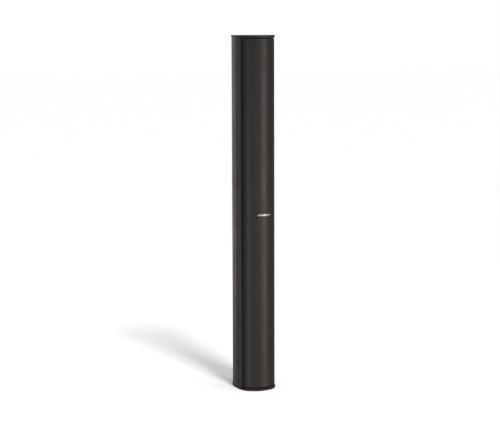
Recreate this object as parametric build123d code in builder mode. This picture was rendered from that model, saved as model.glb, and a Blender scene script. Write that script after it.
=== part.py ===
from build123d import *
from math import asin, degrees, pi, sin, sqrt
import os

# Column loudspeaker, in millimetres.
#
# The origin is the centre of the bounding box's bottom face. +Z is up, the front faces -Y and
# X runs across. The plan is a D: half an ellipse at the front, a longer half ellipse behind it,
# cut off by a flat back.

os.makedirs("parts", exist_ok=True)

# Driving dimensions
height = 983.0
width = 107.0
depth = 134.0
nose_depth = 46.0  # from the front tip back to the widest section
back_width = 52.5  # flat back of the end caps

cap_plate = 4.5
cap_lip = 8.6  # height of the lip that stands over the grille
cap_side_overhang = 1.0
cap_nose_overhang = 3.5
cap_back_overhang = 1.0
cap_edge_radius = 0.8
lip_bevel = 2.6
collar_wall = 2.5
collar_height = 8.0
collar_fit = 0.3  # from the collar to the shell's walls
collar_clearance = 1.0  # from the collar to the screw channels
cap_gasket_thickness = 0.8
cap_gasket_inset = 0.5

wall = 3.0
channel_width = 46.0  # channel down the flat back
channel_depth = 2.5
groove_from_tip = 61.0  # decorative groove down each side
groove_width = 2.0
groove_depth = 1.8
screw_channel_radius = 5.0
screw_channel_sink = 0.5  # how far the front channels run into the side walls
front_channel_set_back = 2.0  # behind the widest section
rear_channel_inset = 4.0  # in front of the back wall's inner face
rear_channel_offset = 1.0  # outside the back channel's side

grille_gap = 4.0
gap_from_tip = 35.0  # centre of the gap between grille and shell
grille_thickness = 1.0
grille_end_gap = 1.2
return_width = 4.4  # folded edge of the grille, from the baffle's side inward
scrim_thickness = 0.5
scrim_clearance = 0.25
scrim_end_inset = 1.0

badge_width = 48.0
badge_height = 11.5
badge_thickness = 1.6
badge_corner = 2.5

baffle_thickness = 4.0
baffle_side_gap = 0.3
baffle_gasket_thickness = 1.0
baffle_gasket_inset = 0.5
baffle_screw_inset = 7.7
ledge_thickness = 3.0
ledge_width = 11.5

clip_height = 14.0
clip_thickness = 1.2
clip_reach = 2.5  # how far the hook goes over the grille's folded edge
clip_gap = 0.3

driver_count = 12
driver_end_margin = 13.5  # from the outer drivers' share of the baffle to its ends
flange_size = 64.0
flange_corner = 8.0
flange_thickness = 2.0
flange_lip = 2.7  # from the flange's opening out to the bowl
driver_gasket_thickness = 1.0
driver_gasket_inset = 0.5
driver_screw_inset = 5.5
bowl_clearance = 0.8
bowl_skirt = 5.0
bowl_wall = 1.5
bowl_bend = 0.4
bowl_depth = 22.0
bowl_land = 3.0  # straight wall in front of the rear plate
rear_plate_thickness = 1.5
rear_plate_clearance = 1.5  # round the voice coil
window_start = 6.0
window_length = 11.0
window_width = 17.0
window_count = 4
shelf_depth = 13.1
shelf_rim = 2.0  # from the shelf's inner edge out to the bowl's rear
tag_length = 8.0
tag_overrun = 2.5  # beyond the lead that it carries
tag_overlap = 1.0

magnet_radius = 22.5
magnet_length = 9.0
magnet_inset = 1.5  # the magnet stands out past its plates by this much
magnet_clearance = 1.4  # the magnet's bore is wider than the top plate's by this much
plate_thickness = 4.0
coil_clearance = 0.6

cone_rim_radius = 21.0
cone_rim_width = 1.8
cone_paper = 0.6
cone_lap = 0.4
cone_depth = 12.0
dust_cap_margin = 0.85  # beyond the neck
dust_cap_rise = 4.3
dust_cap_thickness = 0.5
former_radius = 10.0
former_wall = 0.35
former_end = 29.0
former_lap = 1.0
coil_wall = 0.65
coil_length = 8.0
roll_width = 4.5  # from the cone's rim to the flange's opening
surround_thickness = 0.6
surround_lip = 2.5
surround_trim = 0.1
spider_thickness = 0.5
spider_span = 8.0  # from the former out to the shelf
spider_neck = 2.2
spider_step = 0.3
spider_lip = 2.5
spider_wave = 0.35
spider_waves = 3
glue_gap = 0.3

small_screw_radius = 1.5
small_head_radius = 2.8
small_head_height = 1.6
small_hole_radius = 1.7
large_screw_radius = 1.85
large_head_radius = 4.0
large_head_height = 2.2
large_hole_radius = 2.2
large_screw_length = 16.0
head_sink = 0.4  # flush heads lie this far under the face
head_clearance = 0.3
thread_clearance = 0.05
drive_slot = 0.8
drive_depth = 1.0
drive_span = 1.3  # length of the cross recess, in head radii
drive_limit = 0.6  # deepest cross recess, in head heights

panel_side_gap = 1.0
panel_length = 100.0
panel_thickness = 2.0
panel_gasket_thickness = 0.5
panel_centre_z = 120.0
panel_side_ledge = 4.0
panel_end_ledge = 10.0
panel_corner = 2.0
panel_screw_inset = 4.0
panel_head_recess = 1.2
panel_head_sink = 0.1

socket_pitch = 44.0
socket_radius = 12.0
socket_wall = 1.2
socket_depth = 16.0
socket_core_radius = 3.5
socket_core_sink = 2.0
socket_body_length = 26.0
socket_side_flange = 1.0
socket_end_flange = 3.5
socket_flange_thickness = 2.5
socket_screw_inset = 3.5
socket_clearance = 0.2
socket_tab_length = 6.0
socket_tab_width = 5.0
socket_tab_thickness = 0.8

insert_radius = 4.5
insert_thread_radius = 2.5
insert_length = 12.0
insert_flange_radius = 6.5
insert_flange_thickness = 1.0
insert_clearance = 0.1
insert_pitch = 70.0
insert_from_end = 245.0  # from each end of the column to the centre of a pair

pad_thickness = 8.0
pad_clearance = 0.3
pad_channel_gap = 4.0
pad_back_gap = 20.5
pad_end_gap = 36.2
pad_gap = 30.0
pad_count = 3

loom_radius = 2.5
lead_radius = 1.0
lead_clearance = 0.5
loom_wall_gap = 12.0
loom_magnet_gap = 3.0

edge_band = 0.1  # half height of the band in which an end's edges are picked

# Plan geometry
half_width = width / 2
tip_y = -depth / 2
back_y = depth / 2
middle_y = tip_y + nose_depth
rear_depth = (depth - nose_depth) / sqrt(1 - (back_width / width) ** 2)

shell_front_y = tip_y + gap_from_tip + grille_gap / 2
grille_back_y = tip_y + gap_from_tip - grille_gap / 2
channel_floor_y = back_y - cap_back_overhang - channel_depth
inner_back_y = channel_floor_y - wall
inner_side = cap_side_overhang + wall
inner_nose = cap_nose_overhang + wall
inner_back = cap_back_overhang + channel_depth + wall

# Heights
shell_bottom = cap_plate + cap_gasket_thickness
shell_length = height - 2 * shell_bottom
grille_bottom = cap_lip + grille_end_gap
grille_length = height - 2 * grille_bottom
driver_pitch = (grille_length - 2 * driver_end_margin) / driver_count
driver_offsets = [(index - (driver_count - 1) / 2) * driver_pitch for index in range(driver_count)]


def nose_half_width(side, nose, y):
    """Half width, at a depth y in front of the widest section, of an outline drawn in."""
    return (half_width - side) * sqrt(1 - ((middle_y - y) / (nose_depth - nose)) ** 2)


# Places on the baffle
baffle_half_width = nose_half_width(inner_side, inner_nose, shell_front_y) - baffle_side_gap
baffle_back_y = grille_back_y + baffle_thickness
ledge_front_y = baffle_back_y + baffle_gasket_thickness
ledge_inner_x = baffle_half_width - ledge_width
baffle_screw_x = baffle_half_width - baffle_screw_inset
return_inner_x = baffle_half_width - return_width
half_count = driver_count // 2
baffle_screw_points = [(side * baffle_screw_x, step * driver_pitch)
                       for side in (-1, 1) for step in range(1 - half_count, half_count, 2)]
clip_points = [(side, step * driver_pitch)
               for side in (-1, 1) for step in range(2 - half_count, half_count - 1, 2)]

# Places of the drivers
seat_y = grille_back_y - driver_gasket_thickness  # back of the drivers' flanges
flange_front_y = seat_y - flange_thickness
driver_screw_offset = flange_size / 2 - driver_screw_inset
driver_screw_points = [(x * driver_screw_offset, offset + z * driver_screw_offset)
                       for offset in driver_offsets for x in (-1, 1) for z in (-1, 1)]

# Radii of a driver, from its cone and its voice coil outward
flange_opening = cone_rim_radius + roll_width
bowl_radius = flange_opening + flange_lip
neck_radius = former_radius + former_wall
coil_radius = neck_radius + coil_wall
pole_radius = former_radius - coil_clearance
top_plate_bore = coil_radius + coil_clearance
magnet_bore = top_plate_bore + magnet_clearance
plate_radius = magnet_radius - magnet_inset
rear_plate_opening = coil_radius + rear_plate_clearance
shelf_radius = former_radius + spider_span
bowl_rear_radius = shelf_radius + shelf_rim

# Places of the cap screws, over the shell's screw channels
channel_x_front = half_width - inner_side - screw_channel_radius + screw_channel_sink
channel_y_front = middle_y + front_channel_set_back
channel_x_rear = channel_width / 2 + rear_channel_offset
channel_y_rear = inner_back_y - rear_channel_inset
screw_channel_points = [(-channel_x_front, channel_y_front), (channel_x_front, channel_y_front),
                        (-channel_x_rear, channel_y_rear), (channel_x_rear, channel_y_rear)]

# Places on the back
panel_front_y = channel_floor_y + panel_gasket_thickness + panel_thickness
panel_z = panel_centre_z - height / 2
panel_width = channel_width - 2 * panel_side_gap
panel_opening_width = panel_width - 2 * panel_side_ledge
panel_opening_length = panel_length - 2 * panel_end_ledge
socket_offsets = [panel_z - socket_pitch / 2, panel_z + socket_pitch / 2]
panel_screw_points = [(x * (panel_width / 2 - panel_screw_inset),
                       panel_z + z * (panel_length / 2 - panel_screw_inset))
                      for x in (-1, 1) for z in (-1, 1)]
socket_flange_width = 2 * (socket_radius + socket_side_flange)
socket_flange_length = 2 * (socket_radius + socket_end_flange)
socket_screw_x = socket_flange_width / 2 - socket_screw_inset
socket_screw_z = socket_flange_length / 2 - socket_screw_inset
socket_screw_points = [(x * socket_screw_x, offset + z * socket_screw_z)
                       for offset in socket_offsets for x in (-1, 1) for z in (-1, 1)]
insert_points = [(0, pair * (height / 2 - insert_from_end) + end * insert_pitch / 2)
                 for pair in (-1, 1) for end in (-1, 1)]

# Places inside the shell
pad_front_y = channel_y_front + screw_channel_radius + pad_channel_gap
pad_back_y = inner_back_y - pad_back_gap
pad_length = (shell_length - 2 * pad_end_gap - (pad_count - 1) * pad_gap) / pad_count
loom_x = -magnet_radius - loom_magnet_gap
loom_y = inner_back_y - loom_wall_gap - loom_radius


def forward_plane(y):
    """Upright plane at depth y that faces the front, with its origin at mid height."""
    return Plane(origin=(0, y, height / 2), x_dir=(1, 0, 0), z_dir=(0, -1, 0))


def rearward_plane(y):
    """Upright plane at depth y that faces the back, with its origin at mid height."""
    return Plane(origin=(0, y, height / 2), x_dir=(-1, 0, 0), z_dir=(0, 1, 0))


def driver_section(offset):
    """Level plane through a driver's axis: x is the radius, y runs back from the flange."""
    return Plane(origin=(0, seat_y, height / 2 + offset), x_dir=(1, 0, 0), z_dir=(0, 0, 1))


def driver_axis(offset):
    """Axis of the driver that stands offset from mid height."""
    return Axis((0, seat_y, height / 2 + offset), (0, 1, 0))


def add_outline(side, nose, back, mode=Mode.ADD):
    """Add the caps' plan outline to the open sketch, drawn in at its sides, nose and back."""
    half = half_width - side
    rear = rear_depth - side
    turn = degrees(asin((back_y - back - middle_y) / rear))
    with BuildLine() as outline:
        EllipticalCenterArc((0, middle_y), half, nose_depth - nose, 180, arc_size=180)
        right = EllipticalCenterArc((0, middle_y), half, rear, 0, arc_size=turn)
        left = EllipticalCenterArc((0, middle_y), half, rear, 180 - turn, arc_size=turn)
        Line(right @ 1, left @ 0)
    make_face(outline.edges(), mode=mode)


def cut_behind(y):
    """Cut away everything behind depth y from the open sketch."""
    with Locations((0, y)):
        Rectangle(2 * width, 2 * depth, align=(Align.CENTER, Align.MIN), mode=Mode.SUBTRACT)


def cut_before(y):
    """Cut away everything in front of depth y from the open sketch."""
    with Locations((0, y)):
        Rectangle(2 * width, 2 * depth, align=(Align.CENTER, Align.MAX), mode=Mode.SUBTRACT)


def add_span(x_low, x_high, y_low, y_high, mode=Mode.ADD):
    """Add a rectangle given by its limits to the open sketch."""
    with Locations((x_low, y_low)):
        Rectangle(x_high - x_low, y_high - y_low, align=(Align.MIN, Align.MIN), mode=mode)


def add_screws(plane, points, shank_radius, length, head_radius, head_height):
    """Add screws to the open part: heads stand on the plane and shanks go in behind it."""
    with BuildSketch(plane) as heads:
        with Locations(*points):
            Circle(head_radius)
    extrude(heads.sketch, amount=head_height)
    with BuildSketch(plane) as shanks:
        with Locations(*points):
            Circle(shank_radius)
    extrude(shanks.sketch, amount=-length)
    with BuildSketch(plane.offset(head_height)) as slots:
        with Locations(*points):
            Rectangle(drive_span * head_radius, drive_slot)
            Rectangle(drive_slot, drive_span * head_radius)
    recess = min(drive_depth, drive_limit * head_height)
    extrude(slots.sketch, amount=-recess, mode=Mode.SUBTRACT)


def finish(name, piece):
    """Label a finished piece and write it."""
    piece.part.label = name
    export_step(piece.part, f"parts/{name}.step")


# Enclosure shell: one extrusion, open at the front behind the grille
with BuildPart() as enclosure_shell:
    with BuildSketch(Plane.XY.offset(shell_bottom)):
        add_outline(cap_side_overhang, cap_nose_overhang, cap_back_overhang)
        add_outline(inner_side, inner_nose, inner_back, mode=Mode.SUBTRACT)
        cut_before(shell_front_y)
        add_span(-channel_width / 2, channel_width / 2, channel_floor_y, back_y, Mode.SUBTRACT)
        ledge_outer_x = half_width - cap_side_overhang - wall / 2
        for x_low, x_high in ((-ledge_outer_x, -ledge_inner_x), (ledge_inner_x, ledge_outer_x)):
            add_span(x_low, x_high, ledge_front_y, ledge_front_y + ledge_thickness)
        with Locations(*screw_channel_points):
            Circle(screw_channel_radius)
            Circle(large_screw_radius + thread_clearance, mode=Mode.SUBTRACT)
        groove_y = tip_y + groove_from_tip
        groove_floor_x = half_width - cap_side_overhang - groove_depth
        for x_low, x_high in ((-width, -groove_floor_x), (groove_floor_x, width)):
            add_span(x_low, x_high, groove_y - groove_width / 2, groove_y + groove_width / 2,
                     Mode.SUBTRACT)
    extrude(amount=shell_length)
    # Holes for the baffle's screws in the ledges
    with BuildSketch(forward_plane(ledge_front_y)):
        with Locations(*baffle_screw_points):
            Circle(small_screw_radius + thread_clearance)
    extrude(amount=-ledge_thickness, mode=Mode.SUBTRACT)
    # Opening and holes of the input panel, and the bracket inserts' holes
    with BuildSketch(rearward_plane(channel_floor_y)):
        with Locations((0, panel_z)):
            RectangleRounded(panel_opening_width, panel_opening_length, panel_corner)
        with Locations(*panel_screw_points):
            Circle(small_screw_radius + thread_clearance)
        with Locations(*insert_points):
            Circle(insert_radius + insert_clearance)
    extrude(amount=-wall, mode=Mode.SUBTRACT)
finish("enclosure_shell", enclosure_shell)


def make_cap(outer_z, inward):
    """End cap whose outer face is at outer_z; inward is +1 for the lower cap, -1 for the upper."""
    collar_front = channel_y_front + screw_channel_radius + collar_clearance
    collar_back = channel_y_rear - screw_channel_radius - collar_clearance
    collar_side = inner_side + collar_fit
    with BuildPart() as cap:
        with BuildSketch(Plane.XY.offset(outer_z)):
            add_outline(0, 0, 0)
        extrude(amount=inward * cap_plate)
        outer_edges = cap.edges().filter_by_position(Axis.Z, outer_z - edge_band, outer_z + edge_band)
        fillet(outer_edges, cap_edge_radius)
        # Lip over the grille, with its inner edge bevelled
        with BuildSketch(Plane.XY.offset(outer_z + inward * cap_plate)):
            add_outline(0, 0, 0)
            cut_behind(tip_y + gap_from_tip)
        extrude(amount=inward * (cap_lip - cap_plate))
        lip_z = outer_z + inward * cap_lip
        lip_edges = cap.edges().filter_by_position(Axis.Z, lip_z - edge_band, lip_z + edge_band)
        chamfer(lip_edges.filter_by(GeomType.ELLIPSE), lip_bevel)
        # Locating ribs that stand inside the shell's side walls
        with BuildSketch(Plane.XY.offset(outer_z + inward * cap_plate)):
            add_outline(collar_side, inner_nose, inner_back)
            add_outline(collar_side + collar_wall, inner_nose + collar_wall, inner_back,
                        Mode.SUBTRACT)
            cut_before(collar_front)
            cut_behind(collar_back)
        extrude(amount=inward * collar_height)
        # Countersunk screw holes
        with BuildSketch(Plane.XY.offset(outer_z)):
            with Locations(*screw_channel_points):
                Circle(large_head_radius + head_clearance)
        extrude(amount=inward * (large_head_height + head_sink), mode=Mode.SUBTRACT)
        with BuildSketch(Plane.XY.offset(outer_z)):
            with Locations(*screw_channel_points):
                Circle(large_hole_radius)
        extrude(amount=inward * cap_plate, mode=Mode.SUBTRACT)
    return cap


finish("bottom_end_cap", make_cap(0, 1))
finish("top_end_cap", make_cap(height, -1))

# Gaskets between the caps and the shell's ends
with BuildPart() as cap_gaskets:
    for low_z in (cap_plate, height - shell_bottom):
        with BuildSketch(Plane.XY.offset(low_z)):
            add_outline(cap_side_overhang + cap_gasket_inset, cap_nose_overhang + cap_gasket_inset,
                        cap_back_overhang + channel_depth)
            add_outline(inner_side, inner_nose, inner_back, mode=Mode.SUBTRACT)
            cut_before(shell_front_y)
        extrude(amount=cap_gasket_thickness)
finish("cap_gaskets", cap_gaskets)

# Cap screws, heads under the caps' outer faces
with BuildPart() as cap_screws:
    head_seat = large_head_height + head_sink
    downward = Plane(origin=(0, 0, head_seat), x_dir=(-1, 0, 0), z_dir=(0, 0, -1))
    for plane in (downward, Plane.XY.offset(height - head_seat)):
        add_screws(plane, screw_channel_points, large_screw_radius, large_screw_length,
                   large_head_radius, large_head_height)
finish("cap_screws", cap_screws)

# Baffle with the drivers' openings
with BuildPart() as front_baffle:
    with BuildSketch(forward_plane(grille_back_y)):
        Rectangle(2 * baffle_half_width, grille_length)
        with Locations(*[(0, offset) for offset in driver_offsets]):
            Circle(bowl_radius + bowl_clearance, mode=Mode.SUBTRACT)
        with Locations(*driver_screw_points):
            Circle(small_screw_radius + thread_clearance, mode=Mode.SUBTRACT)
        with Locations(*baffle_screw_points):
            Circle(small_hole_radius, mode=Mode.SUBTRACT)
    extrude(amount=-baffle_thickness)
finish("front_baffle", front_baffle)

# Sealing strips between the baffle and the shell's ledges
with BuildPart() as baffle_gaskets:
    with BuildSketch(forward_plane(baffle_back_y)):
        strip_outer_x = baffle_half_width - baffle_gasket_inset
        for x_low, x_high in ((-strip_outer_x, -ledge_inner_x), (ledge_inner_x, strip_outer_x)):
            add_span(x_low, x_high, -grille_length / 2, grille_length / 2)
        with Locations(*baffle_screw_points):
            Circle(small_hole_radius, mode=Mode.SUBTRACT)
    extrude(amount=-baffle_gasket_thickness)
finish("baffle_gaskets", baffle_gaskets)

# Screws that hold the baffle to the ledges
with BuildPart() as baffle_screws:
    baffle_screw_length = baffle_thickness + baffle_gasket_thickness + ledge_thickness
    add_screws(forward_plane(grille_back_y), baffle_screw_points, small_screw_radius,
               baffle_screw_length, small_head_radius, small_head_height)
finish("baffle_screws", baffle_screws)

# Grille: bowed sheet whose edges fold in against the baffle
sheet_side = cap_side_overhang + grille_thickness
sheet_nose = cap_nose_overhang + grille_thickness
with BuildPart() as grille:
    with BuildSketch(Plane.XY.offset(grille_bottom)):
        add_outline(cap_side_overhang, cap_nose_overhang, 0)
        add_outline(sheet_side, sheet_nose, 0, mode=Mode.SUBTRACT)
        cut_behind(grille_back_y)
        sheet_x = nose_half_width(sheet_side, sheet_nose, grille_back_y) + grille_thickness / 2
        for x_low, x_high in ((-sheet_x, -return_inner_x), (return_inner_x, sheet_x)):
            add_span(x_low, x_high, grille_back_y - grille_thickness, grille_back_y)
    extrude(amount=grille_length)
finish("grille", grille)

# Acoustic cloth behind the grille
with BuildPart() as grille_scrim:
    with BuildSketch(Plane.XY.offset(grille_bottom + scrim_end_inset)):
        cloth_side = sheet_side + scrim_clearance
        cloth_nose = sheet_nose + scrim_clearance
        add_outline(cloth_side, cloth_nose, 0)
        add_outline(cloth_side + scrim_thickness, cloth_nose + scrim_thickness, 0, Mode.SUBTRACT)
        cut_behind(grille_back_y - grille_thickness - scrim_clearance)
    extrude(amount=grille_length - 2 * scrim_end_inset)
finish("grille_scrim", grille_scrim)

# Spring clips whose hooks hold the grille's folded edges against the baffle
with BuildPart() as grille_clips:
    hook_back_y = grille_back_y - grille_thickness
    stem_outer_x = return_inner_x - clip_gap
    stem_inner_x = stem_outer_x - clip_thickness
    for side, offset in clip_points:
        with BuildSketch(Plane.XY.offset(height / 2 + offset - clip_height / 2)):
            foot = sorted((side * ledge_inner_x, side * stem_outer_x))
            hook = sorted((side * stem_inner_x, side * (return_inner_x + clip_reach)))
            stem = sorted((side * stem_inner_x, side * stem_outer_x))
            add_span(*foot, grille_back_y - clip_thickness, grille_back_y)
            add_span(*hook, hook_back_y - clip_thickness, hook_back_y)
            add_span(*stem, hook_back_y - clip_thickness, grille_back_y)
        extrude(amount=clip_height)
finish("grille_clips", grille_clips)

# Badge that follows the grille's bow
with BuildPart() as badge:
    with BuildSketch(Plane.XY.offset(height / 2 - badge_height)):
        add_outline(cap_side_overhang - badge_thickness, cap_nose_overhang - badge_thickness, 0)
        add_outline(cap_side_overhang, cap_nose_overhang, 0, mode=Mode.SUBTRACT)
        cut_behind(grille_back_y)
    extrude(amount=2 * badge_height)
    with BuildSketch(forward_plane(tip_y)):
        RectangleRounded(badge_width, badge_height, badge_corner)
    extrude(amount=-nose_depth, mode=Mode.INTERSECT)
finish("badge", badge)

# Foam gaskets under the drivers' flanges
with BuildPart() as driver_gaskets:
    with BuildSketch(forward_plane(grille_back_y)):
        with Locations(*[(0, offset) for offset in driver_offsets]):
            RectangleRounded(flange_size - 2 * driver_gasket_inset, flange_size - 2 * driver_gasket_inset,
                             flange_corner - driver_gasket_inset)
            Circle(bowl_radius + bowl_clearance, mode=Mode.SUBTRACT)
        with Locations(*driver_screw_points):
            Circle(small_hole_radius, mode=Mode.SUBTRACT)
    extrude(amount=driver_gasket_thickness)
finish("driver_gaskets", driver_gaskets)

# Four screws to a driver
with BuildPart() as driver_screws:
    driver_screw_length = flange_thickness + driver_gasket_thickness + baffle_thickness
    add_screws(forward_plane(flange_front_y), driver_screw_points, small_screw_radius,
               driver_screw_length, small_head_radius, small_head_height)
finish("driver_screws", driver_screws)


def make_basket(offset):
    """Pressed frame: square flange, windowed bowl, a shelf for the spider and a rear plate."""
    inner_rear = bowl_rear_radius - bowl_wall
    slope = (bowl_radius - bowl_rear_radius) / (bowl_depth - bowl_land - bowl_skirt)
    with BuildPart() as basket:
        with BuildSketch(driver_section(offset)):
            with BuildLine():
                Polyline(
                    (bowl_radius - bowl_wall, 0),
                    (bowl_radius, 0),
                    (bowl_radius, bowl_skirt),
                    (bowl_rear_radius, bowl_depth - bowl_land),
                    (bowl_rear_radius, bowl_depth),
                    (rear_plate_opening, bowl_depth),
                    (rear_plate_opening, bowl_depth - rear_plate_thickness),
                    (inner_rear, bowl_depth - rear_plate_thickness),
                    (inner_rear, bowl_depth - bowl_land - bowl_bend),
                    (bowl_radius - bowl_wall, bowl_skirt - bowl_bend),
                    close=True,
                )
            make_face()
        revolve(axis=driver_axis(offset))
        face = forward_plane(seat_y)
        with BuildSketch(face.offset(-window_start)):
            with Locations((0, offset)):
                with PolarLocations(bowl_radius, window_count):
                    Rectangle(bowl_radius, window_width)
        extrude(amount=-window_length, mode=Mode.SUBTRACT)
        with BuildSketch(driver_section(offset)):
            past_skirt = shelf_depth + bowl_wall / 2 - bowl_skirt
            wall_radius = bowl_radius - bowl_wall / 2 - slope * past_skirt
            add_span(shelf_radius, wall_radius, shelf_depth, shelf_depth + bowl_wall)
        revolve(axis=driver_axis(offset))
        with BuildSketch(face):
            with Locations((0, offset)):
                RectangleRounded(flange_size, flange_size, flange_corner)
                Circle(flange_opening, mode=Mode.SUBTRACT)
                with GridLocations(2 * driver_screw_offset, 2 * driver_screw_offset, 2, 2):
                    Circle(small_hole_radius, mode=Mode.SUBTRACT)
        extrude(amount=flange_thickness)
        # Terminal tag beside the rear plate
        with BuildSketch(face.offset(rear_plate_thickness - bowl_depth)):
            add_span(loom_x - tag_overrun, tag_overlap - bowl_rear_radius,
                     offset - tag_length / 2, offset + tag_length / 2)
        extrude(amount=-rear_plate_thickness)
    return basket


def make_motor(offset):
    """Magnet between a top plate and a back plate that carries the pole."""
    plate_end = bowl_depth + plate_thickness
    magnet_end = plate_end + magnet_length
    with BuildPart() as motor:
        with BuildSketch(driver_section(offset)):
            add_span(top_plate_bore, plate_radius, bowl_depth, plate_end)
            add_span(magnet_bore, magnet_radius, plate_end, magnet_end)
            add_span(0, plate_radius, magnet_end, magnet_end + plate_thickness)
            add_span(0, pole_radius, bowl_depth, magnet_end)
        revolve(axis=driver_axis(offset))
    return motor


def paper_depth(radius):
    """Depth behind the flange's seat of the middle of the cone's paper at a radius."""
    rim_radius = cone_rim_radius - cone_rim_width
    rim_depth = cone_paper / 2 - flange_thickness
    root_radius = former_radius + former_wall / 2
    root_depth = cone_depth - cone_lap / 2
    return root_depth - (root_depth - rim_depth) * (radius - root_radius) / (rim_radius - root_radius)


def make_cone(offset):
    """Moving piece: paper cone and dust cap on the voice coil's former."""
    lip_radius = cone_rim_radius - cone_rim_width
    cap_radius = neck_radius + dust_cap_margin
    cap_front = paper_depth(cap_radius) - dust_cap_rise
    inner_cap_radius = cap_radius - dust_cap_thickness
    with BuildPart() as cone:
        with BuildSketch(driver_section(offset)):
            with BuildLine():
                Polyline(
                    (cone_rim_radius, -flange_thickness),
                    (cone_rim_radius, cone_paper - flange_thickness),
                    (lip_radius, cone_paper - flange_thickness),
                    (neck_radius, cone_depth),
                    (former_radius, cone_depth),
                    (former_radius, cone_depth - cone_lap),
                    (lip_radius, -flange_thickness),
                    close=True,
                )
            make_face()
            add_span(former_radius, neck_radius, cone_depth - former_lap, former_end)
            add_span(former_radius, coil_radius, former_end - coil_length, former_end)
            with BuildLine():
                front = TangentArc((0, cap_front), (cap_radius, paper_depth(cap_radius)),
                                   tangent=(1, 0))
                back = TangentArc((0, cap_front + dust_cap_thickness),
                                  (inner_cap_radius, paper_depth(inner_cap_radius)), tangent=(1, 0))
                Line(front @ 0, back @ 0)
                Line(front @ 1, back @ 1)
            make_face()
        revolve(axis=driver_axis(offset))
    return cone


for index, offset in enumerate(driver_offsets, start=1):
    finish(f"driver_{index:02d}_basket", make_basket(offset))
    finish(f"driver_{index:02d}_motor", make_motor(offset))
    finish(f"driver_{index:02d}_cone", make_cone(offset))

# Half-roll surrounds glued to the cones' rims and to the flanges
with BuildPart() as cone_surrounds:
    roll_middle = (cone_rim_radius + flange_opening) / 2
    roll_radius = (roll_width + surround_thickness) / 2
    for offset in driver_offsets:
        with BuildSketch(driver_section(offset)):
            with Locations((roll_middle, -flange_thickness)):
                Circle(roll_radius + surround_thickness / 2)
                Circle(roll_radius - surround_thickness / 2, mode=Mode.SUBTRACT)
            add_span(0, bowl_radius, -flange_thickness, bowl_radius, Mode.SUBTRACT)
            lip_front = -flange_thickness - surround_thickness
            add_span(cone_rim_radius - cone_rim_width, cone_rim_radius - surround_trim,
                     lip_front, -flange_thickness)
            add_span(flange_opening + surround_trim, flange_opening + surround_lip,
                     lip_front, -flange_thickness)
        revolve(axis=driver_axis(offset))
finish("cone_surrounds", cone_surrounds)

# Corrugated spiders between the formers and the baskets' shelves
with BuildPart() as spiders:
    inner_flat = neck_radius + spider_neck
    outer_flat = shelf_radius + spider_step
    wave_steps = 4 * spider_waves
    ripple = [(inner_flat + (outer_flat - inner_flat) * step / wave_steps,
               spider_wave * sin(step * pi / 2)) for step in range(wave_steps + 1)]
    top = [(neck_radius + glue_gap, 0)] + ripple + [(shelf_radius + spider_lip, 0)]
    lower = [(radius, shelf_depth + lift) for radius, lift in top]
    upper = [(radius, shelf_depth + lift - spider_thickness) for radius, lift in reversed(top)]
    for offset in driver_offsets:
        with BuildSketch(driver_section(offset)):
            with BuildLine():
                Polyline(*lower, *upper, close=True)
            make_face()
        revolve(axis=driver_axis(offset))
finish("spiders", spiders)

# Input panel in the back channel, and its gasket
with BuildPart() as input_panel:
    with BuildSketch(rearward_plane(panel_front_y)):
        with Locations((0, panel_z)):
            RectangleRounded(panel_width, panel_length, panel_corner)
        with Locations(*[(0, offset) for offset in socket_offsets]):
            Circle(socket_radius + socket_clearance, mode=Mode.SUBTRACT)
        with Locations(*panel_screw_points, *socket_screw_points):
            Circle(small_hole_radius, mode=Mode.SUBTRACT)
    extrude(amount=-panel_thickness)
    with BuildSketch(rearward_plane(panel_front_y)):
        with Locations(*panel_screw_points, *socket_screw_points):
            Circle(small_head_radius + head_clearance / 2)
    extrude(amount=-panel_head_recess, mode=Mode.SUBTRACT)
finish("input_panel", input_panel)

with BuildPart() as input_panel_gasket:
    with BuildSketch(rearward_plane(channel_floor_y)):
        with Locations((0, panel_z)):
            RectangleRounded(panel_width, panel_length, panel_corner)
            RectangleRounded(panel_opening_width, panel_opening_length, panel_corner,
                             mode=Mode.SUBTRACT)
        with Locations(*panel_screw_points):
            Circle(small_hole_radius, mode=Mode.SUBTRACT)
    extrude(amount=panel_gasket_thickness)
finish("input_panel_gasket", input_panel_gasket)

with BuildPart() as panel_screws:
    add_screws(rearward_plane(panel_front_y - panel_head_recess),
               panel_screw_points + socket_screw_points, small_screw_radius,
               panel_thickness - panel_head_recess + panel_gasket_thickness + wall,
               small_head_radius, panel_head_recess - panel_head_sink)
finish("panel_screws", panel_screws)


def make_socket(offset):
    """Round locking loudspeaker socket behind the panel: barrel, core, flange and four tabs."""
    mouth = rearward_plane(panel_front_y)
    with BuildPart() as socket:
        with BuildSketch(mouth):
            with Locations((0, offset)):
                Circle(socket_radius)
        extrude(amount=-socket_body_length)
        with BuildSketch(mouth.offset(-panel_thickness)):
            with Locations((0, offset)):
                Rectangle(socket_flange_width, socket_flange_length)
                with GridLocations(2 * socket_screw_x, 2 * socket_screw_z, 2, 2):
                    Circle(small_screw_radius + thread_clearance, mode=Mode.SUBTRACT)
        extrude(amount=-socket_flange_thickness)
        with BuildSketch(mouth):
            with Locations((0, offset)):
                Circle(socket_radius - socket_wall)
                Circle(socket_core_radius, mode=Mode.SUBTRACT)
        extrude(amount=-socket_depth, mode=Mode.SUBTRACT)
        with BuildSketch(mouth):
            with Locations((0, offset)):
                Circle(socket_core_radius)
        extrude(amount=-socket_core_sink, mode=Mode.SUBTRACT)
        with BuildSketch(mouth.offset(-socket_body_length)):
            with Locations((0, offset)):
                with GridLocations(socket_radius, socket_radius, 2, 2):
                    Rectangle(socket_tab_width, socket_tab_thickness)
        extrude(amount=-socket_tab_length)
    return socket


finish("input_socket", make_socket(socket_offsets[0]))
finish("through_socket", make_socket(socket_offsets[1]))

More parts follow.
